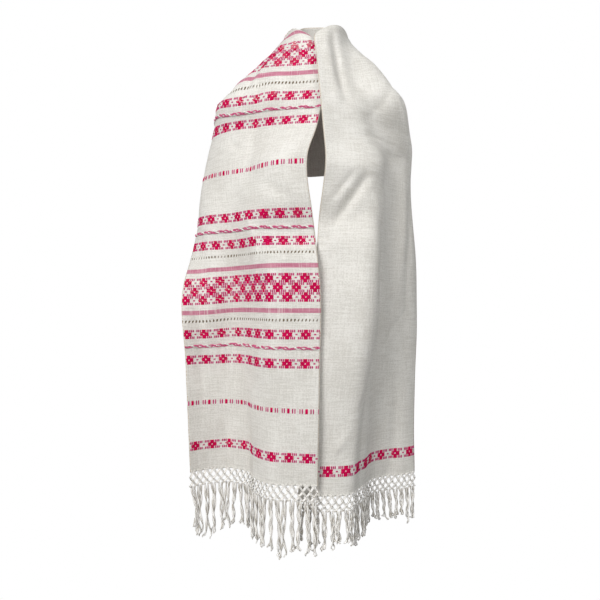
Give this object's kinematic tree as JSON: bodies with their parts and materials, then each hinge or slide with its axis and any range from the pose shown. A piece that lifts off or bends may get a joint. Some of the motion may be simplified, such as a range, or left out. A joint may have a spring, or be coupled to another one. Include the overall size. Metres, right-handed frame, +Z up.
{
  "type": "rebozo shawl",
  "caption": "Hand-woven rebozo shawl in its worn shape: two fronts crossed at the neck, a back panel and knotted net fringes.",
  "frame": {"origin": "the point between the shoulders at the base of the wearer's neck, where the shawl is held", "axes": "+Z up, +X to the wearer's left, +Y towards the wearer's back; the crossed fronts face -Y"},
  "size_m": [0.5026, 0.2656, 1.1157],
  "materials": {
    "banded_cotton": "matte hand-woven ivory cotton with crimson brocade bands",
    "plain_cotton": "matte hand-woven ivory cotton",
    "fringe_cotton": "matte twisted ivory cotton cord"
  },
  "bodies": {
    "root": {"cloth_front_banded": "banded_cotton", "cloth_shoulders_back": "banded_cotton", "cloth_front_plain": "plain_cotton", "fringe_banded_end": "fringe_cotton", "fringe_plain_end": "fringe_cotton"}
  },
  "joints": []
}
